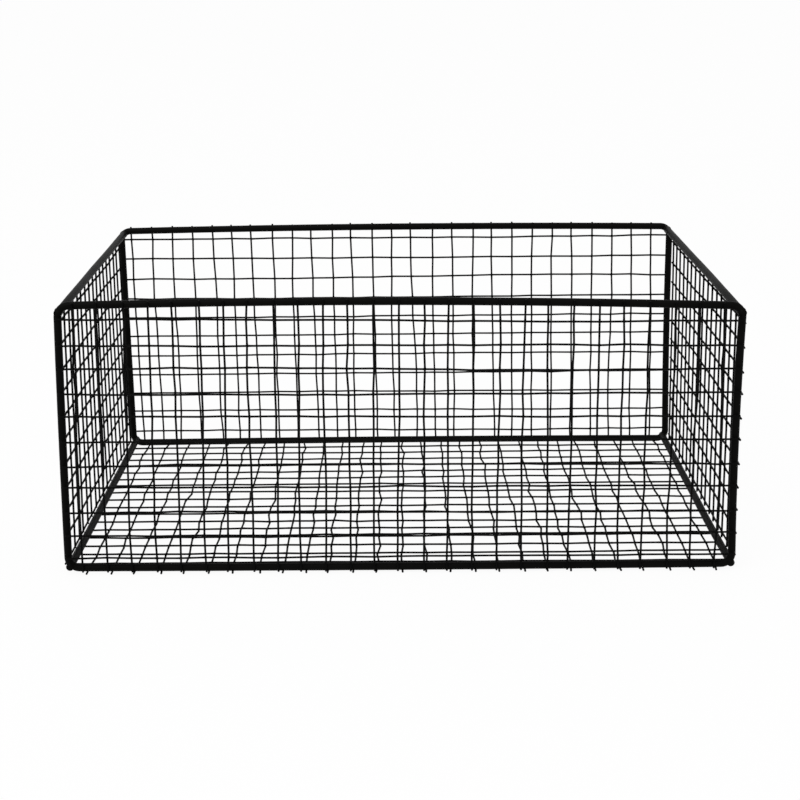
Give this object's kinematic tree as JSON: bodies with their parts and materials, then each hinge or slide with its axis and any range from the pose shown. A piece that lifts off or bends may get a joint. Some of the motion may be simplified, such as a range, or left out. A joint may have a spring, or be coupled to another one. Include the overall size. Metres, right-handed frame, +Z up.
{
  "type": "wire locker basket",
  "caption": "Open-topped rectangular basket of black coated steel wire, with two thick rim frames, corner rails and welded square mesh on the walls and floor.",
  "frame": {"origin": "centre of the basket's footprint, on the surface that it stands on", "axes": "+X from left to right along the long side, +Y from the front to the back, +Z up"},
  "size_m": [0.3524, 0.2292, 0.1455],
  "materials": {
    "frame_coat": "satin powder coat",
    "mesh_coat": "satin powder coat",
    "weld_coat": "satin powder coat over weld metal"
  },
  "bodies": {
    "root": {"front_frame": "frame_coat", "back_frame": "frame_coat", "top_left_rail": "frame_coat", "top_right_rail": "frame_coat", "bottom_left_rail": "frame_coat", "bottom_right_rail": "frame_coat", "front_top_welds": "weld_coat", "front_bottom_welds": "weld_coat", "back_top_welds": "weld_coat", "back_bottom_welds": "weld_coat", "front_uprights": "mesh_coat", "front_level_wires": "mesh_coat", "back_uprights": "mesh_coat", "back_level_wires": "mesh_coat", "left_uprights": "mesh_coat", "left_level_wires": "mesh_coat", "right_uprights": "mesh_coat", "right_level_wires": "mesh_coat", "floor_long_wires": "mesh_coat", "floor_cross_wires": "mesh_coat"}
  },
  "joints": []
}
